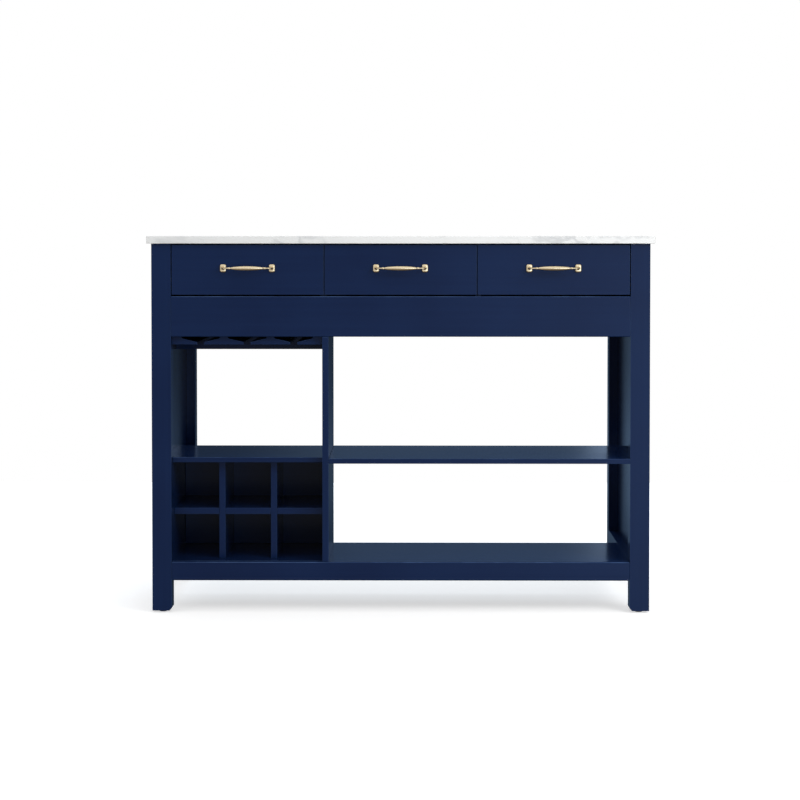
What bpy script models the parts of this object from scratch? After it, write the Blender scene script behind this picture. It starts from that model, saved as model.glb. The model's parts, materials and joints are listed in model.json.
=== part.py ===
# Kitchen island cart: stone top, square posts, three drawers, stemware rack, bottle cubbies.
# Metres, +Z up, front faces -Y. Depths are measured back from the front plane of the posts.
import bpy
import bmesh
import math
from mathutils import Matrix, Vector

# overall
top_w = 1.216
top_d = 0.606
top_t = 0.018
height = 0.906
base_w = 1.195
base_d = 0.585
overhang = (top_d - base_d) / 2
gap = 0.0003

# frame
leg = 0.0465
pad_h = 0.0043
leg_z0 = 0.0046
leg_cham_x = 0.0053
leg_cham_z = 0.0062
stem_r = 0.004
stem_hole_r = 0.0045
stem_len = 0.025
leg_z1 = height - top_t - gap
panel_t = 0.012
panel_recess = 0.022
top_rail_z0 = 0.790

# low shelf
rail_z0 = 0.0775
rail_z1 = 0.1226
rail_t = 0.020
shelf_t = 0.012
shelf_d = 0.312

# middle
mid_z0 = 0.3595
mid_z1 = 0.3715
cubby_top_d0 = 0.030
cell_d0 = 0.060
cell_t = 0.015
cell_x = (-0.4340, -0.3084)
cross_z0 = 0.230
cross_z1 = 0.245
divider_x0 = -0.188
divider_x1 = -0.173

# apron and drawer bay
apron_z0 = 0.6646
apron_z1 = 0.7618
apron_t = 0.018
floor_z0 = 0.672
floor_z1 = 0.684
partition_t = 0.015
bay_w = 0.3572

# drawers
front_z0 = 0.7656
front_z1 = 0.8850
front_t = 0.018
front_gap = 0.0024
drawer_names = ("left", "middle", "right")
box_play = 0.0015
box_z0 = 0.775
box_z1 = 0.865
box_len = 0.400
box_t = 0.014
bottom_t = 0.006
bottom_z0 = 0.783
groove_deep = 0.005
runner_z = 0.822
runner_h = 0.0154
runner_out = 0.0070
runner_d0 = 0.040
runner_d1 = 0.420
slot_h = 0.0160
slot_deep = 0.0065
slot_stop = 0.020

# handle
handle_z = 0.829
handle_span = 0.117
handle_out = 0.030
foot_w = 0.0154
foot_h = 0.0200
foot_t = 0.0050
grip_r = 0.0059

# stemware rack
slot_x = (-0.4814, -0.3694, -0.2574)
slot_w = 0.017
flange_z0 = 0.645
flange_tip = 0.006
flange_z1 = 0.660
stem_half = 0.0095
side_stem = 0.0229
rack_d0 = 0.0186
rack_d1 = 0.2967
rear_rail_z0 = 0.6185

# derived
front_y = -(handle_out + base_d + overhang) / 2 + handle_out
inner_x = base_w / 2 - leg
panel_x = inner_x + panel_recess
box_w = bay_w - 2 * box_play
fit_x = inner_x - gap
partition_x = (bay_w + partition_t) / 2
bay_centre = (-(inner_x - bay_w / 2), 0.0, inner_x - bay_w / 2)
front_w = (2 * inner_x - 4 * front_gap) / 3
front_x = (-(front_w + front_gap), 0.0, front_w + front_gap)

for old in list(bpy.data.objects):
    bpy.data.objects.remove(old, do_unlink=True)

parts = bpy.data.collections.new("kitchen_island_cart")
cutters = bpy.data.collections.new("cutters")
bpy.context.scene.collection.children.link(parts)
bpy.context.scene.collection.children.link(cutters)

finishes = {
    "navy": ((0.014, 0.027, 0.072, 1.0), 0.35, 0.0),
    "marble": ((0.78, 0.78, 0.77, 1.0), 0.20, 0.0),
    "brass": ((0.62, 0.49, 0.30, 1.0), 0.30, 1.0),
    "birch": ((0.62, 0.47, 0.30, 1.0), 0.55, 0.0),
    "dark": ((0.010, 0.010, 0.011, 1.0), 0.60, 0.0),
}


def finish(obj, kind):
    # give a body its own plain surface
    colour, rough, metal = finishes[kind]
    mat = bpy.data.materials.new(obj.name + "_finish")
    mat.use_nodes = True
    shader = mat.node_tree.nodes["Principled BSDF"]
    shader.inputs["Base Color"].default_value = colour
    shader.inputs["Roughness"].default_value = rough
    shader.inputs["Metallic"].default_value = metal
    obj.data.materials.clear()
    obj.data.materials.append(mat)


def place(obj, home):
    for held in list(obj.users_collection):
        held.objects.unlink(obj)
    home.objects.link(obj)


def from_bmesh(name, bm, origin, home):
    # mesh with its object origin at the given point
    bmesh.ops.translate(bm, verts=bm.verts, vec=-Vector(origin))
    mesh = bpy.data.meshes.new(name)
    bm.to_mesh(mesh)
    bm.free()
    obj = bpy.data.objects.new(name, mesh)
    obj.location = origin
    home.objects.link(obj)
    return obj


def add_box(bm, x0, x1, d0, d1, z0, z1):
    # one closed box, depth measured from the front plane
    size = Vector((x1 - x0, d1 - d0, z1 - z0))
    mid = Vector(((x0 + x1) / 2, front_y + (d0 + d1) / 2, (z0 + z1) / 2))
    move = Matrix.Translation(mid) @ Matrix.Diagonal((size.x, size.y, size.z, 1.0))
    return bmesh.ops.create_cube(bm, size=1.0, matrix=move)["verts"]


def add_rod(bm, r0, r1, length, start, axis, sides=32):
    # closed round rod from a start point along an axis
    axis = Vector(axis).normalized()
    turn = axis.to_track_quat("Z", "Y").to_matrix().to_4x4()
    mid = Vector(start) + axis * (length / 2)
    bmesh.ops.create_cone(bm, cap_ends=True, segments=sides, radius1=r0, radius2=r1,
                          depth=length, matrix=Matrix.Translation(mid) @ turn)


def boards(name, boxes, kind, origin=None, home=None):
    # one node holding one or more plain boards
    bm = bmesh.new()
    for box in boxes:
        add_box(bm, *box)
    if origin is None:
        box = boxes[0]
        if len(boxes) == 1:
            origin = ((box[0] + box[1]) / 2, front_y + (box[2] + box[3]) / 2, (box[4] + box[5]) / 2)
        else:
            origin = (0.0, 0.0, 0.0)
    obj = from_bmesh(name, bm, origin, home or parts)
    if home is None:
        finish(obj, kind)
    return obj


def board(name, x0, x1, d0, d1, z0, z1, kind="navy", origin=None):
    return boards(name, [(x0, x1, d0, d1, z0, z1)], kind, origin)


def rods(name, rod_list, kind, origin=None, home=None, sides=32):
    bm = bmesh.new()
    for rod in rod_list:
        add_rod(bm, *rod, sides=sides)
    obj = from_bmesh(name, bm, origin or (0.0, 0.0, 0.0), home or parts)
    if home is None:
        finish(obj, kind)
    return obj


def cut(obj, cutter):
    # subtract a hidden cutter from a body
    cutter.hide_render = True
    cutter.display_type = "WIRE"
    mod = obj.modifiers.new("cut_" + cutter.name, "BOOLEAN")
    mod.operation = "DIFFERENCE"
    mod.solver = "EXACT"
    mod.object = cutter
    return mod


def cut_boxes(obj, name, boxes):
    return cut(obj, boards(name, boxes, None, home=cutters))


def cut_rods(obj, name, rod_list):
    return cut(obj, rods(name, rod_list, None, home=cutters))


# stone top
board("marble_top", -top_w / 2, top_w / 2, -overhang, base_d + overhang,
      height - top_t, height, "marble")

# four posts with a small inner chamfer at the foot and a bore for the levelling stem
for side, sx in (("left", -1), ("right", 1)):
    for end, d0 in (("front", 0.0), ("rear", base_d - leg)):
        post = "leg_" + end + "_" + side
        x0, x1 = sorted((sx * inner_x, sx * (inner_x + leg)))
        obj = board(post, x0, x1, d0, d0 + leg, leg_z0, leg_z1)
        bm = bmesh.new()
        add_box(bm, -0.5, 0.5, -0.5, 0.5, -0.5, 0.5)
        bmesh.ops.translate(bm, verts=bm.verts, vec=(0.0, -front_y, 0.0))
        reach = math.hypot(leg_cham_x, leg_cham_z)
        lean = math.atan2(leg_cham_z, leg_cham_x)
        shape = Matrix.Diagonal((reach * 3, leg * 1.4, 0.02, 1.0))
        turn = Matrix.Rotation(sx * lean, 4, "Y")
        drop = Matrix.Translation((0.0, 0.0, -0.5))
        mid = Vector((sx * (inner_x + leg_cham_x / 2), front_y + d0 + leg / 2, leg_z0 + leg_cham_z / 2))
        bm.transform(Matrix.Translation(mid) @ turn @ shape @ drop)
        wedge = from_bmesh(post + "_foot_cut", bm, mid, cutters)
        cut(obj, wedge)
        cx = sx * (inner_x + leg / 2)
        cy = front_y + d0 + leg / 2
        cut_rods(obj, post + "_bore", [(stem_hole_r, stem_hole_r, 0.0304, (cx, cy, leg_z0 - 0.002), (0, 0, 1))])

        foot = rods("levelling_foot_" + end + "_" + side, [(0.0085, 0.0100, pad_h, (cx, cy, 0.0), (0, 0, 1))],
                    "dark", origin=(cx, cy, 0.0), sides=48)
        stem = rods("stem_" + end + "_" + side, [(stem_r, stem_r, stem_len + 0.002, (cx, cy, pad_h - 0.002),
                    (0, 0, 1))], None, home=cutters, sides=24)
        stem.hide_render = True
        stem.display_type = "WIRE"
        joinmod = foot.modifiers.new("stem", "BOOLEAN")
        joinmod.operation = "UNION"
        joinmod.solver = "EXACT"
        joinmod.object = stem

# sides: low rail, recessed panel, upper rail
for side, sx in (("left", -1), ("right", 1)):
    d0 = leg + gap
    d1 = base_d - leg - gap
    x0, x1 = sorted((sx * inner_x, sx * (panel_x + panel_t)))
    board("side_bottom_rail_" + side, x0, x1, d0, d1, rail_z0, rail_z1)
    x0, x1 = sorted((sx * panel_x, sx * (panel_x + panel_t)))
    board("side_panel_" + side, x0, x1, d0, d1, rail_z1 + gap, leg_z1)
    x0, x1 = sorted((sx * inner_x, sx * (panel_x - gap)))
    board("side_top_rail_" + side, x0, x1, d0, d1, top_rail_z0, leg_z1)

# aprons
board("front_apron", -fit_x, fit_x, 0.0, apron_t, apron_z0, apron_z1)
board("rear_apron", -fit_x, fit_x, base_d - apron_t, base_d, apron_z0, leg_z1)

# board closing the drawer bay from below, notched round the posts
bay_floor = board("drawer_bay_floor", -panel_x + gap, panel_x - gap, apron_t + gap,
                  base_d - apron_t - gap, floor_z0, floor_z1)
notch = []
for sx in (-1, 1):
    for d0, d1 in ((-0.01, leg + gap), (base_d - leg - gap, base_d + 0.01)):
        x0, x1 = sorted((sx * fit_x, sx * (panel_x + 0.02)))
        notch.append((x0, x1, d0, d1, floor_z0 - 0.01, floor_z1 + 0.01))
cut_boxes(bay_floor, "floor_notches", notch)

for side, sx in (("left", -1), ("right", 1)):
    x0 = sx * partition_x - partition_t / 2
    board("drawer_bay_partition_" + side, x0, x0 + partition_t, apron_t + 2 * gap,
          base_d - apron_t - gap, floor_z1 + gap, leg_z1)

# low shelf and its rails
board("bottom_front_rail", -fit_x, fit_x, 0.0, rail_t, rail_z0, rail_z1)
board("bottom_shelf", -fit_x, fit_x, rail_t + gap, shelf_d, rail_z1 - shelf_t, rail_z1)
board("shelf_rear_rail", -fit_x, fit_x, shelf_d - rail_t, shelf_d, rail_z0, rail_z1 - shelf_t - gap)

# divider, stepped under the apron
divider = board("divider", divider_x0, divider_x1, 0.0, shelf_d, rail_z1 + gap, floor_z0 - gap)
cut_boxes(divider, "divider_step", [(divider_x0 - 0.01, divider_x1 + 0.01, -0.01, apron_t + gap,
                                     apron_z0 - gap, floor_z0 + 0.01)])

# right bay shelf, notched round the front post
shelf = board("middle_shelf", divider_x1 + gap, panel_x - gap, 0.0, shelf_d, mid_z0, mid_z1)
cut_boxes(shelf, "middle_shelf_notch", [(fit_x, panel_x + 0.02, -0.01, leg + gap,
                                         mid_z0 - 0.01, mid_z1 + 0.01)])

# bottle cubbies
cubby_x1 = divider_x0 - gap
lid = board("cubby_top", -panel_x + gap, cubby_x1, cubby_top_d0, shelf_d, mid_z0, mid_z1)
cut_boxes(lid, "cubby_top_notch", [(-panel_x - 0.02, -fit_x, -0.01, leg + gap,
                                    mid_z0 - 0.01, mid_z1 + 0.01)])
board("cubby_side_board", -panel_x + gap, -inner_x, leg + gap, shelf_d, rail_z1 + gap, mid_z0 - gap)
board("cubby_back", -fit_x, cubby_x1, shelf_d - shelf_t, shelf_d, rail_z1 + gap, mid_z0 - gap)
cell_d1 = shelf_d - shelf_t - gap
cell_mid = (cell_d0 + cell_d1) / 2
for side, x in zip(("left", "right"), cell_x):
    upright = board("cubby_upright_" + side, x - cell_t / 2, x + cell_t / 2, cell_d0, cell_d1,
                    rail_z1 + gap, mid_z0 - gap)
    cut_boxes(upright, "upright_halving_" + side, [(x - cell_t, x + cell_t, cell_mid - gap / 2,
                                                    cell_d1 + 0.01, cross_z0 - gap, cross_z1 + gap)])
cross = board("cubby_cross_board", -fit_x, cubby_x1, cell_d0, cell_d1, cross_z0, cross_z1)
cut_boxes(cross, "cross_halvings", [(x - cell_t / 2 - gap, x + cell_t / 2 + gap, cell_d0 - 0.01,
                                     cell_mid + gap / 2, cross_z0 - 0.01, cross_z1 + 0.01) for x in cell_x])


def extruded(outline, d0, d1):
    # closed outline in the XZ plane swept front to back
    curve = bpy.data.curves.new("outline", "CURVE")
    curve.dimensions = "2D"
    curve.fill_mode = "BOTH"
    curve.extrude = (d1 - d0) / 2
    line = curve.splines.new("POLY")
    line.points.add(len(outline) - 1)
    for point, (x, z) in zip(line.points, outline):
        point.co = (x, z, 0.0, 1.0)
    line.use_cyclic_u = True
    holder = bpy.data.objects.new("outline", curve)
    bpy.context.scene.collection.objects.link(holder)
    bpy.context.view_layer.update()
    seen = bpy.context.evaluated_depsgraph_get()
    mesh = bpy.data.meshes.new_from_object(holder.evaluated_get(seen))
    bm = bmesh.new()
    bm.from_mesh(mesh)
    bmesh.ops.remove_doubles(bm, verts=bm.verts, dist=0.00001)
    bmesh.ops.rotate(bm, verts=bm.verts, matrix=Matrix.Rotation(math.pi / 2, 3, "X"))
    bmesh.ops.translate(bm, verts=bm.verts, vec=(0.0, front_y + (d0 + d1) / 2, 0.0))
    bmesh.ops.recalc_face_normals(bm, faces=bm.faces)
    bpy.data.objects.remove(holder, do_unlink=True)
    bpy.data.meshes.remove(mesh)
    return bm


def rail_node(name, outline):
    # one swept rail with its origin at the middle of its length
    mid = sum(x for x, z in outline) / len(outline)
    obj = from_bmesh(name, extruded(outline, rack_d0, rack_d1),
                     (mid, front_y + (rack_d0 + rack_d1) / 2, flange_z0), parts)
    finish(obj, "navy")
    return obj


# stemware rack: inverted T rails hanging under the bay floor
rail_top = floor_z0 - gap
tip_z = flange_z0 + flange_tip


def tee(x0, x1):
    mid = (x0 + x1) / 2
    return [(x0, flange_z0), (x1, flange_z0), (x1, tip_z), (mid + stem_half, flange_z1),
            (mid + stem_half, rail_top), (mid - stem_half, rail_top), (mid - stem_half, flange_z1), (x0, tip_z)]


half = slot_w / 2
rail_node("rack_rail_left", [(-fit_x, flange_z0), (slot_x[0] - half, flange_z0), (slot_x[0] - half, tip_z),
                             (-fit_x + side_stem, flange_z1), (-fit_x + side_stem, rail_top),
                             (-fit_x, rail_top)])
rail_node("rack_rail_inner_left", tee(slot_x[0] + half, slot_x[1] - half))
rail_node("rack_rail_inner_right", tee(slot_x[1] + half, slot_x[2] - half))
rail_node("rack_rail_right", [(slot_x[2] + half, flange_z0), (cubby_x1, flange_z0), (cubby_x1, rail_top),
                              (cubby_x1 - side_stem, rail_top), (cubby_x1 - side_stem, flange_z1),
                              (slot_x[2] + half, tip_z)])
board("rack_rear_rail", -panel_x + gap, cubby_x1, rack_d1 + gap, shelf_d, rear_rail_z0, rail_top)

# hardwood runners screwed to the bay walls, each fitting a slot in a drawer side
for label, cx in zip(drawer_names, bay_centre):
    for side, sx in (("left", -1), ("right", 1)):
        wall = cx + sx * bay_w / 2
        x0, x1 = sorted((wall - sx * gap, wall - sx * runner_out))
        board("runner_" + label + "_" + side, x0, x1, runner_d0, runner_d1,
              runner_z - runner_h / 2, runner_z + runner_h / 2, "birch")


def handle_body(name, cx):
    # spindle grip whose ends bend back into two flared feet
    reach = handle_span / 2
    axis_out = handle_out - grip_r
    bend = 0.0085
    trace = [(reach, 0.0015, 0.0050), (reach, 0.0035, 0.0050), (reach, 0.0065, 0.0045), (reach, 0.0095, 0.0037),
             (reach, 0.0125, 0.0029), (reach, axis_out - bend, 0.0022)]
    for step in range(1, 6):
        turn = math.radians(step * 18)
        trace.append((reach - bend + bend * math.cos(turn), axis_out - bend + bend * math.sin(turn),
                      0.0022 - 0.00007 * step))
    for x, r in ((0.0475, 0.0018), (0.0460, 0.0019), (0.0448, 0.0024), (0.0430, 0.0029), (0.0408, 0.0030),
                 (0.0392, 0.0026), (0.0384, 0.0021), (0.0376, 0.0026), (0.0350, 0.0033), (0.0310, 0.0040),
                 (0.0260, 0.0047), (0.0200, 0.0052), (0.0130, 0.0056), (0.0060, 0.0058)):
        trace.append((x, axis_out, r))
    path = trace + [(0.0, axis_out, grip_r)] + [(-x, out, r) for x, out, r in reversed(trace)]
    curve = bpy.data.curves.new(name + "_path", "CURVE")
    curve.dimensions = "3D"
    curve.bevel_depth = 1.0
    curve.bevel_resolution = 4
    curve.use_fill_caps = True
    line = curve.splines.new("POLY")
    line.points.add(len(path) - 1)
    for point, (x, out, r) in zip(line.points, path):
        point.co = (cx + x, front_y - out, handle_z, 1.0)
        point.radius = r
    holder = bpy.data.objects.new(name + "_path", curve)
    bpy.context.scene.collection.objects.link(holder)
    bpy.context.view_layer.update()
    seen = bpy.context.evaluated_depsgraph_get()
    mesh = bpy.data.meshes.new_from_object(holder.evaluated_get(seen))
    bm = bmesh.new()
    bm.from_mesh(mesh)
    bmesh.ops.remove_doubles(bm, verts=bm.verts, dist=0.00001)
    bmesh.ops.recalc_face_normals(bm, faces=bm.faces)
    bpy.data.objects.remove(holder, do_unlink=True)
    bpy.data.meshes.remove(mesh)
    origin = (cx, front_y, handle_z)
    grip = from_bmesh(name, bm, origin, parts)
    finish(grip, "brass")
    pads = bmesh.new()
    for sx in (-1, 1):
        x = cx + sx * reach
        made = add_box(pads, x - foot_w / 2, x + foot_w / 2, -gap - foot_t, -gap,
                       handle_z - foot_h / 2, handle_z + foot_h / 2)
        upright = [e for e in pads.edges if e.verts[0] in made and e.verts[1] in made
                   and abs(e.verts[0].co.y - e.verts[1].co.y) > 0.001]
        bmesh.ops.bevel(pads, geom=upright, offset=0.0048, segments=5, profile=0.5, affect="EDGES")
    outer = [e for e in pads.edges if all(abs(v.co.y - (front_y - gap - foot_t)) < 0.00001 for v in e.verts)]
    bmesh.ops.bevel(pads, geom=outer, offset=0.0016, segments=3, profile=0.5, affect="EDGES")
    plates = from_bmesh(name + "_feet", pads, origin, cutters)
    plates.hide_render = True
    plates.display_type = "WIRE"
    mod = grip.modifiers.new("feet", "BOOLEAN")
    mod.operation = "UNION"
    mod.solver = "EXACT"
    mod.object = plates
    cut_boxes(grip, name + "_back_trim", [(cx - 0.1, cx + 0.1, -gap, 0.02, handle_z - 0.05, handle_z + 0.05)])
    return grip


# three drawers
for label, cx, fx in zip(drawer_names, bay_centre, front_x):
    prefix = "drawer_" + label + "_"
    box_d0 = front_t + gap
    box_d1 = box_d0 + box_len
    board(prefix + "front", fx - front_w / 2, fx + front_w / 2, 0.0, front_t, front_z0, front_z1)
    for side, sx in (("left", -1), ("right", 1)):
        x0, x1 = sorted((cx + sx * box_w / 2, cx + sx * (box_w / 2 - box_t)))
        wall = board(prefix + "side_" + side, x0, x1, box_d0, box_d1, box_z0, box_z1, "birch")
        g0, g1 = sorted((cx + sx * (box_w / 2 - box_t + groove_deep), cx + sx * (box_w / 2 - 0.04)))
        s0, s1 = sorted((cx + sx * (box_w / 2 - slot_deep), cx + sx * (box_w / 2 + 0.02)))
        cut_boxes(wall, prefix + side + "_grooves", [
            (g0, g1, box_d0 - 0.01, box_d1 + 0.01, bottom_z0 - gap, bottom_z0 + bottom_t + gap),
            (s0, s1, box_d0 + slot_stop, box_d1 + 0.01, runner_z - slot_h / 2, runner_z + slot_h / 2)])
    inside = box_w / 2 - box_t
    board(prefix + "back", cx - inside + gap, cx + inside - gap, box_d1 - box_t, box_d1,
          bottom_z0 + bottom_t + gap, box_z1, "birch")
    board(prefix + "bottom", cx - inside - groove_deep + gap, cx + inside + groove_deep - gap,
          box_d0, box_d1, bottom_z0, bottom_z0 + bottom_t, "birch")
    handle_body(prefix + "handle", fx)

# turned and bent metal is shaded smooth
for obj in parts.objects:
    if obj.name.endswith("handle") or obj.name.startswith("levelling"):
        obj.data.shade_smooth()
        obj.data.set_sharp_from_angle(angle=math.radians(35))

bpy.context.view_layer.update()
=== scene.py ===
import bpy
import bmesh
import json
import math
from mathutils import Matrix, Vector

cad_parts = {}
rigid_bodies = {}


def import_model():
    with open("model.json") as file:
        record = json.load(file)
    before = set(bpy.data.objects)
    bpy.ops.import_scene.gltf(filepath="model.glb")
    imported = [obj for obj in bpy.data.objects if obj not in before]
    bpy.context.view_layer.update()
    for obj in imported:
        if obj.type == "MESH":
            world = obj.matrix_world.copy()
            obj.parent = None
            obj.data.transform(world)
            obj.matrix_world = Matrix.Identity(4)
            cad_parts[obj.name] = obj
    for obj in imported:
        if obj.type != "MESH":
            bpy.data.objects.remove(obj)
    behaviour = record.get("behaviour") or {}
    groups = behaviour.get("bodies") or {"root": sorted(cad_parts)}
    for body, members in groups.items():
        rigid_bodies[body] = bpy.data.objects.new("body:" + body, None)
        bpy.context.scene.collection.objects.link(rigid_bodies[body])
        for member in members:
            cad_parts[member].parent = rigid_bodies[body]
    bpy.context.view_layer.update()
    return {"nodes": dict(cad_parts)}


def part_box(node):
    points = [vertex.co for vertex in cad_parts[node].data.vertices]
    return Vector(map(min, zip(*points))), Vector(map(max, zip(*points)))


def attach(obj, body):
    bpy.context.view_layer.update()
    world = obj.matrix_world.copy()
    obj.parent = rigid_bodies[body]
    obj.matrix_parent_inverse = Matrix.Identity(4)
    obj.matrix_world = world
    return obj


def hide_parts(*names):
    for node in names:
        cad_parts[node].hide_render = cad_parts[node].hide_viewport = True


for leftover in list(bpy.data.objects):
    bpy.data.objects.remove(leftover, do_unlink=True)
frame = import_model()
nodes = frame["nodes"]
bpy.context.scene.view_settings.view_transform = "Standard"
print("frame loaded:", len(nodes), "nodes")


class Wire:  # a socket that can stand in a sum, which adds the Math nodes
    def __init__(self, recipe, socket):
        self.recipe = recipe
        self.socket = socket

    def sum(self, how, first, second):
        return self.recipe.node("ShaderNodeMath", {"operation": how}, {0: first, 1: second})

    def __add__(self, other):
        return self.sum("ADD", self, other)

    def __radd__(self, other):
        return self.sum("ADD", other, self)

    def __sub__(self, other):
        return self.sum("SUBTRACT", self, other)

    def __rsub__(self, other):
        return self.sum("SUBTRACT", other, self)

    def __mul__(self, other):
        return self.sum("MULTIPLY", self, other)

    def __rmul__(self, other):
        return self.sum("MULTIPLY", other, self)

    def __abs__(self):
        return self.sum("ABSOLUTE", self, 0)


class Recipe:  # the nodes of one finish, or of the room
    def __init__(self, owner, shader="Principled BSDF", **plain):
        self.owner = owner
        owner.use_nodes = True
        self.nodes = owner.node_tree.nodes
        self.links = owner.node_tree.links
        self.shader = self.nodes[shader]
        for key, value in plain.items():  # numbers that hold all over
            self.put(self.shader.inputs[key.replace("_", " ")], value)

    def put(self, socket, value):
        if isinstance(value, Wire):
            self.links.new(value.socket, socket)
        else:
            socket.default_value = value

    def node(self, kind, settings=None, values=None, pick=0):
        # settings go in first, because some of them change which sockets there are
        made = self.nodes.new(kind)
        for key, value in (settings or {}).items():
            setattr(made, key, value)
        for key, value in (values or {}).items():
            self.put(made.inputs[key], value)
        return Wire(self, made.outputs[pick])

    def feed(self, **wires):
        for key, wire in wires.items():
            self.put(self.shader.inputs[key.replace("_", " ")], wire)

    def place(self, stretch=(1, 1, 1)):  # the piece's own metres, stretched
        spot = self.node("ShaderNodeTexCoord", pick="Object")
        return self.node("ShaderNodeMapping", {}, {"Vector": spot, "Scale": stretch})

    def noise(self, where, scale, detail=3.0, rough=0.5, twist=0.0, pick=0):
        return self.node("ShaderNodeTexNoise", {},
                         {"Vector": where, "Scale": scale, "Detail": detail,
                          "Roughness": rough, "Distortion": twist}, pick)

    def parts(self, vector):  # its x, y and z
        split = self.node("ShaderNodeSeparateXYZ", {}, {0: vector}).socket.node
        return [Wire(self, part) for part in split.outputs]

    def blend(self, share, first, second):  # colours
        return self.node("ShaderNodeMix", {"data_type": "RGBA"},
                         {0: share, 6: first, 7: second}, 2)

    def span(self, value, low, high, toLow=0.0, toHigh=1.0):  # a soft step from low to high
        return self.node("ShaderNodeMapRange", {"interpolation_type": "SMOOTHSTEP"},
                         {"Value": value, "From Min": low, "From Max": high,
                          "To Min": toLow, "To Max": toHigh})

    def bump(self, height, strength, depth):
        return self.node("ShaderNodeBump", {},
                         {"Height": height, "Strength": strength, "Distance": depth})


def finish(name, **plain):
    return Recipe(bpy.data.materials.new(name), **plain)


navy = {
    "deep": (0.0034, 0.0116, 0.0480, 1),
    "light": (0.0046, 0.0156, 0.0600, 1),
    # the arrises' lighter colour: rubbed wear plus a painted highlight
    "wornAndHighlight": (0.0520, 0.0980, 0.2100, 1),
    "rough": 0.20,
    "level": 0.09,  # how strongly it mirrors the room when seen square on
    "pores": (2.2, 95),  # noise scale along and across the grain
    "peel": 620.0,
    "arris": 0.0020,  # how far in from an edge the rubbed wear and painted highlight show, in metres
    "fineArris": 0.4,  # how much of it shows on the flats beside an edge
    "bump": (0.035, 0.0002),  # strength and depth
}


def stretched(grain, along, across):  # scales for a pattern that runs along one axis
    return tuple(along if axis == grain else across for axis in "XYZ")


def navyLacquer(grain):
    # sprayed satin lacquer over close-grained boards, grain along one axis
    made = finish("navyLacquer" + grain, Specular_IOR_Level=navy["level"])
    along = made.place(stretched(grain, *navy["pores"]))
    plain = made.place()
    pores = made.noise(along, 1.0, 5.0, 0.62, 0.25)
    peel = made.noise(plain, navy["peel"], 2.0, 0.5)
    cloud = made.noise(plain, 3.1, 3.0, 0.55)
    handled = made.noise(plain, 11.0, 4.0, 0.6, 0.4)
    # lighter along the arrises, partly rubbed wear and partly a painted highlight, most on the
    # ones that face up towards the light
    rounded = made.node("ShaderNodeBevel", {"samples": 4}, {"Radius": navy["arris"]})
    face = made.node("ShaderNodeNewGeometry", pick="Normal")
    flat = made.node("ShaderNodeVectorMath", {"operation": "DOT_PRODUCT"},
                     {0: rounded, 1: face}, "Value")
    edge = made.span(1 - flat, 0.004, 0.16) * navy["fineArris"]
    forward, upward = made.parts(face)[1:]
    turn = forward * forward * (1 - forward * forward) * 4  # 1 halfway round from front to side
    # arrises that face up get more of it: a painted highlight for the light they would catch from
    # above
    edge = edge + turn * made.span(upward, -0.1, 0.5, 0.12, 1.0)
    colour = made.blend(made.span(cloud * 0.7 + pores * 0.3, 0.32, 0.68),
                        navy["deep"], navy["light"])
    # blends in the lighter arris colour, rubbed wear plus painted highlight
    colour = made.blend(edge * made.span(handled, 0.40, 0.66, 0.35, 0.85), colour, navy["wornAndHighlight"])
    sheen = navy["rough"] + (cloud - 0.5) * 0.08 + (handled - 0.5) * 0.06 + (pores - 0.5) * 0.05
    made.feed(Base_Color=colour, Roughness=sheen,
              Normal=made.bump(pores * 0.7 + peel * 0.3, *navy["bump"]))
    return made.owner


stone = {
    "ground": (0.775, 0.773, 0.765, 1),
    "cloud": (0.695, 0.698, 0.695, 1),
    "vein": (0.470, 0.478, 0.488, 1),
    "crystal": (0.88, 0.88, 0.88, 1),
    "rough": 0.17,
    "level": 0.32,
    "bump": (0.035, 0.0002),
}


def veinedMarble():
    # white marble, long soft grey veins with finer ones between
    made = finish("veinedMarble", Specular_IOR_Level=stone["level"])
    plain = made.place((1.0, 1.35, 1.6))
    push = made.noise(plain, 2.1, 5.0, 0.6, 0.0, "Color")
    centred = made.node("ShaderNodeVectorMath", {"operation": "SUBTRACT"},
                        {0: push, 1: (0.5, 0.5, 0.5)})
    bent = made.node("ShaderNodeVectorMath", {"operation": "MULTIPLY_ADD"},
                     {0: centred, 1: (0.55, 0.55, 0.55), 2: plain})
    tilted = made.node("ShaderNodeMapping", {},
                       {"Vector": bent, "Rotation": (0.0, 0.3, 0.62), "Scale": (0.75, 2.1, 1.0)})
    broad = abs(made.noise(tilted, 2.3, 3.0, 0.5) - 0.5)
    fine = abs(made.noise(bent, 7.5, 5.0, 0.58, 0.5) - 0.5)
    patches = made.noise(bent, 1.7, 4.0, 0.6)
    grains = made.node("ShaderNodeTexVoronoi", {}, {"Vector": plain, "Scale": 520.0}, "Distance")
    # a vein runs where its noise crosses the middle value
    main = made.span(broad, 0.0, 0.030, 1.0, 0.0) * made.span(patches, 0.36, 0.62, 0.05, 0.70)
    hair = made.span(fine, 0.0, 0.016, 1.0, 0.0) * made.span(patches, 0.42, 0.64, 0.0, 0.40)
    haze = made.span(broad, 0.0, 0.16, 0.55, 0.0)
    colour = made.blend(made.span(patches, 0.35, 0.70, 0.0, 0.7),
                        stone["ground"], stone["cloud"])
    colour = made.blend(haze * 0.6, colour, stone["cloud"])
    colour = made.blend(hair, colour, stone["vein"])
    colour = made.blend(main, colour, stone["vein"])
    colour = made.blend(grains * 0.10, colour, stone["crystal"])
    polish = made.noise(plain, 26.0, 4.0, 0.6)
    made.feed(Base_Color=colour, Roughness=stone["rough"] + polish * 0.08 + main * 0.07,
              Normal=made.bump(polish * 0.5 - main * 0.5, *stone["bump"]))
    return made.owner


brass = {
    "bright": (0.760, 0.628, 0.422, 1),
    "dull": (0.250, 0.165, 0.075, 1),
    "rough": 0.18,
    "brush": (60, 900),
    "bump": (0.10, 0.0001),
}


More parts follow.
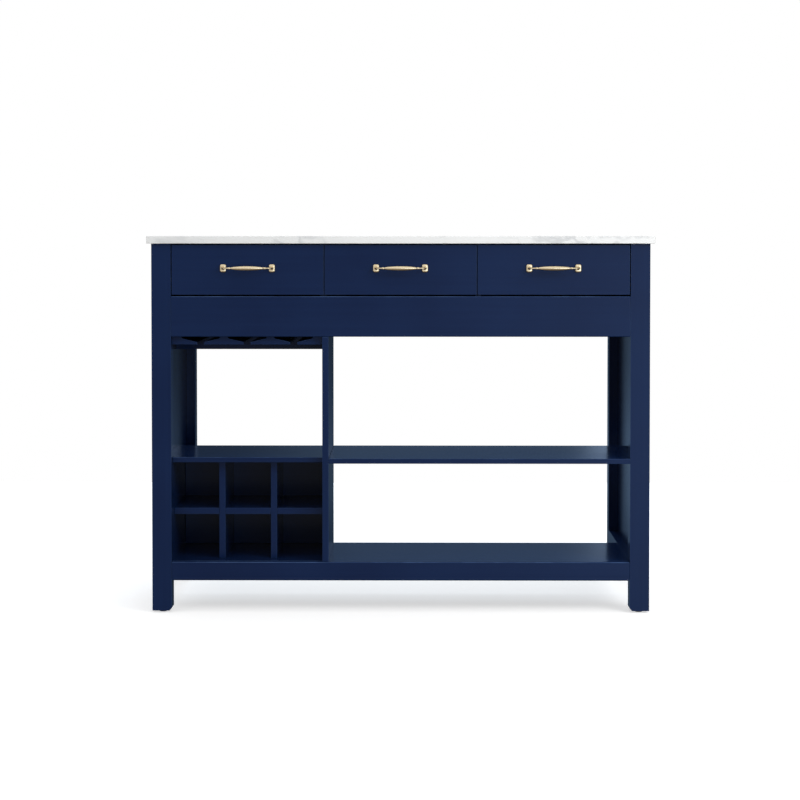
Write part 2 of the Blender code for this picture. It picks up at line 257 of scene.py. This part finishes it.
def champagneBrass():
    # lightly brushed along the grip, darker in the hollows and in random stains
    made = finish("champagneBrass", Metallic=1.0)
    brushed = made.noise(made.place(stretched("X", *brass["brush"])), 1.0, 3.0, 0.6)
    plain = made.place()
    stain = made.noise(plain, 75.0, 4.0, 0.6, 0.3)
    # darker where the surface curves inwards
    hollow = made.node("ShaderNodeNewGeometry", pick="Pointiness")
    darkerInHollows = made.span(hollow, 0.42, 0.51, 0.65, 0.0)
    colour = made.blend(darkerInHollows + made.span(stain, 0.50, 0.80, 0.0, 0.22),
                        brass["bright"], brass["dull"])
    made.feed(Base_Color=colour,
              Roughness=brass["rough"] + (brushed - 0.5) * 0.16 + stain * 0.10,
              Normal=made.bump(brushed, *brass["bump"]))
    return made.owner


birch = {
    "pale": (0.640, 0.470, 0.290, 1),
    "late": (0.470, 0.310, 0.165, 1),
    "rough": 0.48,
    "level": 0.4,
    "growth": (0.9, 12),
    "fibres": (14, 700),
    "rings": 9.0,
    "bump": (0.22, 0.0003),
}


def clearBirch(grain):
    # varnished birch for the parts inside
    made = finish("clearBirch" + grain, Specular_IOR_Level=birch["level"])
    along = made.place(stretched(grain, *birch["growth"]))
    fibres = made.noise(made.place(stretched(grain, *birch["fibres"])), 1.0, 3.0, 0.6)
    swirl = made.noise(along, 1.4, 3.0, 0.5, 1.2)
    folded = made.node("ShaderNodeMath", {"operation": "PINGPONG"},
                       {0: swirl * birch["rings"], 1: 0.5})
    rings = made.span(folded, 0.05, 0.5)
    flecks = made.noise(along, 9.0, 4.0, 0.6)
    colour = made.blend(rings * 0.45 + flecks * 0.25 + fibres * 0.20, birch["pale"], birch["late"])
    made.feed(Base_Color=colour, Roughness=birch["rough"] + fibres * 0.12,
              Normal=made.bump(fibres * 0.7 + rings * 0.3, *birch["bump"]))
    return made.owner


black = {
    "fresh": (0.010, 0.010, 0.011, 1),
    "scuffed": (0.035, 0.035, 0.036, 1),
    "rough": 0.50,
    "level": 0.35,
    "bump": (0.35, 0.0002),
}


def mouldedBlack():
    # grained black nylon of the levelling feet
    made = finish("mouldedBlack", Specular_IOR_Level=black["level"])
    plain = made.place()
    skin = made.noise(plain, 900.0, 2.0, 0.6)
    scuff = made.noise(plain, 160.0, 4.0, 0.65, 0.6)
    colour = made.blend(made.span(scuff, 0.55, 0.80, 0.0, 0.6), black["fresh"], black["scuffed"])
    made.feed(Base_Color=colour, Roughness=black["rough"] + scuff * 0.20,
              Normal=made.bump(skin, *black["bump"]))
    return made.owner


lacquer = {grain: navyLacquer(grain) for grain in "XYZ"}
marble = veinedMarble()
metal = champagneBrass()
inside = {grain: clearBirch(grain) for grain in "XY"}
nylon = mouldedBlack()
print("finishes made")

edges = {  # how wide each kind of arris is eased
    "board": 0.0009,
    "rail": 0.0024,
    "box": 0.00054,
    "stone": 0.0014,
    "foot": 0.0004,
    "turns": 3,  # flats across the ease
    "corner": 35,  # degrees, from where an edge counts as an arris
    "weld": 0.00001,
}


def grainOf(name):
    low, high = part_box(name)
    size = high - low
    return "XYZ"[max(range(3), key=lambda axis: size[axis])]


def smoothShading():
    # smooth shading as a modifier, so the boards' own meshes stay as they came
    group = bpy.data.node_groups.new("smoothShading", "GeometryNodeTree")
    group.interface.new_socket("Geometry", in_out="INPUT", socket_type="NodeSocketGeometry")
    group.interface.new_socket("Geometry", in_out="OUTPUT", socket_type="NodeSocketGeometry")
    start = group.nodes.new("NodeGroupInput")
    smooth = group.nodes.new("GeometryNodeSetShadeSmooth")
    end = group.nodes.new("NodeGroupOutput")
    group.links.new(start.outputs[0], smooth.inputs["Geometry"])
    group.links.new(smooth.outputs[0], end.inputs[0])
    return group


shading = smoothShading()


def softenEdges(piece, width):
    # weld the imported faces, ease the arrises, then even out the shading
    weld = piece.modifiers.new("weld", "WELD")
    weld.merge_threshold = edges["weld"]
    smooth = piece.modifiers.new("smooth", "NODES")
    smooth.node_group = shading
    ease = piece.modifiers.new("easedEdges", "BEVEL")
    ease.width = width
    ease.segments = edges["turns"]
    ease.limit_method = "ANGLE"
    ease.angle_limit = math.radians(edges["corner"])
    ease.use_clamp_overlap = True
    even = piece.modifiers.new("evenShading", "WEIGHTED_NORMAL")
    even.keep_sharp = True


def dress(name, material, width):
    piece = nodes[name]
    for slot in piece.material_slots:
        slot.material = material
    softenEdges(piece, width)


for name in nodes:
    if name.endswith("_handle"):  # turned as finer pieces below
        continue
    if name == "marble_top":
        dress(name, marble, edges["stone"])
    elif name.startswith("levelling_foot"):
        dress(name, nylon, edges["foot"])
    elif name.startswith("runner") or "_side_" in name and name.startswith("drawer"):
        dress(name, inside["Y"], edges["box"])
    elif name.startswith("drawer") and name.endswith(("_back", "_bottom")):
        dress(name, inside["X"], edges["box"])
    elif name in ("front_apron", "bottom_front_rail"):
        dress(name, lacquer[grainOf(name)], edges["rail"])
    else:
        dress(name, lacquer[grainOf(name)], edges["board"])
print("boards dressed")

handle = {
    "reach": 0.0585,  # half the span between the feet
    "grip": 0.0059,  # radius at the middle
    "bend": 0.0085,  # radius of the turn down to the drawer
    "bendSteps": 8,
    "neck": (0.0018, 0.0022),  # radius where the turn starts and ends
    "sunk": 0.0003,  # how far the bar runs on into the drawer front
    "foot": (0.0154, 0.0200, 0.0050),  # width, height and thickness of the base plates
    "corner": 0.0048,
    "dome": 0.0032,
    "sides": 9,  # how finely the bar is rounded
    "crease": 48,  # degrees, from where an edge stays sharp
}
waist = [  # distance from the middle and radius, out to the bend
    (0.0000, 0.00590), (0.0060, 0.00582), (0.0130, 0.00560), (0.0200, 0.00520), (0.0260, 0.00470),
    (0.0310, 0.00400), (0.0350, 0.00330), (0.0376, 0.00262), (0.0384, 0.00212), (0.0392, 0.00262),
    (0.0408, 0.00300), (0.0430, 0.00290), (0.0448, 0.00240), (0.0460, 0.00190), (0.0475, 0.00180),
]
flare = [  # distance out from the drawer and radius, from the turn down to the plate
    (0.0125, 0.0029), (0.0095, 0.0037), (0.0065, 0.0045), (0.0035, 0.0050), (0.0015, 0.0050),
]


def smoothed(points, steps):
    # points on a smooth curve through the given ones
    made = []
    for i in range(len(points) - 1):
        before = Vector(points[max(i - 1, 0)])
        start = Vector(points[i])
        end = Vector(points[i + 1])
        after = Vector(points[min(i + 2, len(points) - 1)])
        for step in range(steps):
            t = step / steps
            made.append(0.5 * (2 * start + (end - before) * t
                               + (2 * before - 5 * start + 4 * end - after) * t * t
                               + (3 * start - before - 3 * end + after) * t ** 3))
    made.append(Vector(points[-1]))
    return made


def gripPath(out):
    # x, distance out from the drawer and radius, from the left foot to the right one
    bend = handle["bend"]
    reach = handle["reach"]
    thin, thick = handle["neck"]
    steps = handle["bendSteps"]
    half = [Vector((x, out, radius)) for x, radius in smoothed(waist, 2)]
    for step in range(steps + 1):
        turn = math.radians(90 - 90 * step / steps)
        half.append(Vector((reach - bend + bend * math.cos(turn),
                            out - bend + bend * math.sin(turn),
                            thin + (thick - thin) * step / steps)))
    half += [Vector((reach, far, radius))
             for far, radius in smoothed([(out - bend, thick)] + flare, 2)[1:]]
    return [Vector((-p.x, p.y, p.z)) for p in reversed(half[1:])] + half


def sweptBar(path, middle, face):
    # a round bar along the path, as a mesh
    curve = bpy.data.curves.new("grip", "CURVE")
    curve.dimensions = "3D"
    curve.bevel_depth = 1.0  # so a point's radius is in metres
    curve.bevel_resolution = handle["sides"]
    curve.use_fill_caps = True
    line = curve.splines.new("POLY")
    line.points.add(len(path) - 1)
    for point, p in zip(line.points, path):
        point.co = (middle.x + p.x, face - p.y, middle.z, 1)
        point.radius = p.z
    holder = bpy.data.objects.new("grip", curve)
    bpy.context.scene.collection.objects.link(holder)
    bpy.context.view_layer.update()
    ready = holder.evaluated_get(bpy.context.evaluated_depsgraph_get())
    swept = bpy.data.meshes.new_from_object(ready)
    bpy.data.objects.remove(holder, do_unlink=True)
    return swept


def basePlate(centre):
    # a small domed plate with rounded corners, as a mesh
    wide, tall, thick = handle["foot"]
    plate = bmesh.new()
    bmesh.ops.create_cube(plate, size=1.0)
    for vert in plate.verts:
        vert.co = Vector((vert.co.x * wide, vert.co.y * thick, vert.co.z * tall))
    corners = [e for e in plate.edges
               if abs(e.verts[0].co.y - e.verts[1].co.y) > thick / 2]
    bmesh.ops.bevel(plate, geom=corners, offset=handle["corner"], segments=8, profile=0.5,
                    affect="EDGES")
    rim = [e for e in plate.edges if all(v.co.y < -thick * 0.49 for v in e.verts)]
    bmesh.ops.bevel(plate, geom=rim, offset=handle["dome"], segments=7, profile=0.5,
                    affect="EDGES")
    bmesh.ops.translate(plate, verts=plate.verts, vec=centre)
    mesh = bpy.data.meshes.new("plate")
    plate.to_mesh(mesh)
    plate.free()
    return mesh


def spindleHandle(label):
    low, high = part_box("drawer_" + label + "_handle")
    middle = (low + high) / 2
    face = high.y + handle["sunk"]
    shape = bmesh.new()
    shape.from_mesh(sweptBar(gripPath(face - low.y - handle["grip"]), middle, face))
    bmesh.ops.remove_doubles(shape, verts=shape.verts, dist=edges["weld"])
    for side in (-1, 1):
        plate = basePlate((middle.x + side * handle["reach"],
                           high.y - handle["foot"][2] / 2, middle.z))
        shape.from_mesh(plate)
        bpy.data.meshes.remove(plate)
    bmesh.ops.recalc_face_normals(shape, faces=shape.faces)
    mesh = bpy.data.meshes.new("handle_" + label)
    shape.to_mesh(mesh)
    shape.free()
    mesh.shade_smooth()
    mesh.set_sharp_from_angle(angle=math.radians(handle["crease"]))
    piece = bpy.data.objects.new("handle_" + label, mesh)
    bpy.context.scene.collection.objects.link(piece)
    mesh.materials.append(metal)
    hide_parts("drawer_" + label + "_handle")
    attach(piece, "drawer_" + label)
    return piece


for label in ("left", "middle", "right"):
    spindleHandle(label)
print("handles turned")

ground = {
    "size": (8.0, 7.0),
    "middle": (0, -1.2, 0),
    "level": 0.2,
    "tones": ((0.60, 0.60, 0.60, 1), (0.57, 0.57, 0.57, 1)),
    "glow": 0.62,  # its own light, so it is as pale as the room
    "glowTones": ((0.95, 0.95, 0.95, 1), (0.92, 0.92, 0.92, 1)),
    "rough": 0.75,
}


def paleFloor():
    made = finish("paleFloor", Specular_IOR_Level=ground["level"],
                  Emission_Strength=ground["glow"])
    tone = made.noise(made.place(), 2.0, 2.0, 0.5)
    made.feed(Base_Color=made.blend(tone * 0.15, *ground["tones"]),
              Roughness=ground["rough"] + tone * 0.1,
              Emission_Color=made.blend(tone * 0.15, *ground["glowTones"]))
    return made.owner


bpy.ops.mesh.primitive_plane_add(size=1, location=ground["middle"])
floor = bpy.context.object
floor.name = "floor"
floor.scale = (*ground["size"], 1)
floor.visible_glossy = False
floor.visible_diffuse = False
floor.data.materials.append(paleFloor())

room = {  # how bright each side of it is
    "front": 0.74,  # at eye level, towards the drawers' side
    "softbox": 1.50,  # added higher up at the front
    "window": (1.9, 2.3, 2.6),  # added by the big soft window at the front right
    "top": 0.74,
    "under": (0.26, 0.22, 0.17, 1),  # low down at the front, as the metal sees it
    "back": (0.068, 0.110, 0.175),
    "strip": (0.42, 0.58, 0.84, 1),  # tall bright strip far back on the right
    "cool": (0.76, 0.88, 1.0),  # the rear lamps
}
fades = {  # from where to where each part fades in, as x, y or z of a direction
    "frontY": (0.25, -0.35),
    "topZ": (0.28, 0.80),
    "underZ": (-0.16, -0.50),
    "softboxZ": (0.26, 0.58),
    "windowLeft": (-0.04, 0.20),
    "windowRight": (0.75, 0.45),
    "windowSill": (-0.38, -0.04),
    "windowHead": (0.22, 0.04),
    "stripLean": 0.098,
    "stripLeft": (0.0750, 0.0770),
    "stripRight": (0.22, 0.16),
    "stripFoot": (0.03, 0.07),
    "stripHead": (0.34, 0.24),
    "lowZ": (0.02, -0.03),
    "skirtTop": (-0.06, -0.108),
    "skirtFoot": (-0.150, -0.120),
    "aboveX": (-0.03, -0.095, 1.0, 0.36),  # these four also say how bright, from and to
    "aboveZ": (0.10, 0.17, 1.0, 1.5),
    "beneathLeft": (-0.04, -0.11, 0.34, 1.30),
    "beneathRight": (0.06, 0.11, 0.0, 0.18),
    "skirt": 0.9,
}


def softRoom():
    # the eye sees plain white; everything else sees a room that is dim low down at the back
    made = Recipe(bpy.data.worlds.new("softRoom"), "Background", Strength=1.0)
    aim = made.node("ShaderNodeTexCoord", pick="Generated")
    across, along, height = made.parts(aim)
    facing = made.span(along, *fades["frontY"])
    aloft = made.span(height, *fades["topZ"])
    below = made.span(height, *fades["underZ"])
    window = (made.span(across, *fades["windowLeft"]) * made.span(across, *fades["windowRight"])
              * made.span(height, *fades["windowSill"]) * made.span(height, *fades["windowHead"]))
    softbox = made.span(height, *fades["softboxZ"]) * room["softbox"]
    front = made.node("ShaderNodeVectorMath", {"operation": "MULTIPLY_ADD"},
                      {0: window, 1: room["window"], 2: room["front"] + softbox})
    strip = (made.span(across - height * fades["stripLean"], *fades["stripLeft"])
             * made.span(across, *fades["stripRight"])
             * made.span(height, *fades["stripFoot"]) * made.span(height, *fades["stripHead"]))
    # above eye level the back is dimmer on the left, below it in the middle
    low = made.span(height, *fades["lowZ"])
    skirt = made.span(height, *fades["skirtTop"]) * made.span(height, *fades["skirtFoot"])
    above = made.span(across, *fades["aboveX"]) * made.span(height, *fades["aboveZ"])
    beneath = (made.span(across, *fades["beneathLeft"])
               + made.span(across, *fades["beneathRight"]))
    share = above * (1 - low) + beneath * low * (1 + skirt * fades["skirt"])
    behind = made.node("ShaderNodeVectorMath", {"operation": "SCALE"},
                       {0: room["back"], "Scale": share})
    tint = made.blend(strip, behind, room["strip"])
    tint = made.blend(facing, tint, made.blend(below, front, room["under"]))
    tint = made.blend(aloft, tint, (room["top"], room["top"], room["top"], 1))
    seen = made.node("ShaderNodeLightPath", pick="Is Camera Ray")
    made.feed(Color=made.blend(seen, tint, (1, 1, 1, 1)))
    return made.owner


bpy.context.scene.world = softRoom()

lamps = {  # place, aim, size, watts
    "overhead": ((0.2, -0.1, 3.3), (0.0, 0.0, 0.0), (3.6, 3.0), 9),
    "keyRight": ((1.7, -1.8, 1.6), (0.6, 0.0, 0.7), (1.0, 1.0), 25),
    "rearTop": ((0.4, 2.6, 3.0), (0.0, 0.2, 0.4), (3.0, 1.6), 32),
    "rearFar": ((0.0, 4.6, 2.4), (0.0, 0.3, 0.45), (1.2, 1.0), 110),
}
unmirrored = ("keyRight", "rearFar")  # they would glare on the slab and the shelves
for name, (spot, aim, size, watts) in lamps.items():
    data = bpy.data.lights.new(name, "AREA")
    data.shape = "RECTANGLE"
    data.size, data.size_y = size
    data.energy = watts
    if name.startswith("rear"):
        data.color = room["cool"]
    lamp = bpy.data.objects.new(name, data)
    lamp.location = spot
    lamp.rotation_euler = (Vector(aim) - Vector(spot)).to_track_quat("-Z", "Y").to_euler()
    lamp.visible_camera = False
    lamp.visible_glossy = name not in unmirrored
    bpy.context.scene.collection.objects.link(lamp)

shot = {
    "spot": (0.0332, -5.1536, 0.9062),
    "lens": 91.58,
    "down": 1.8,  # degrees below level
    "turn": 0.407,  # degrees to the left
    "rise": -0.1251,  # lens shift
}
eye = bpy.data.cameras.new("camera")
eye.lens = shot["lens"]
eye.shift_y = shot["rise"]
camera = bpy.data.objects.new("camera", eye)
camera.location = shot["spot"]
camera.rotation_euler = (math.radians(90 - shot["down"]), 0, math.radians(shot["turn"]))
bpy.context.scene.collection.objects.link(camera)
bpy.context.scene.camera = camera
print("room lit")
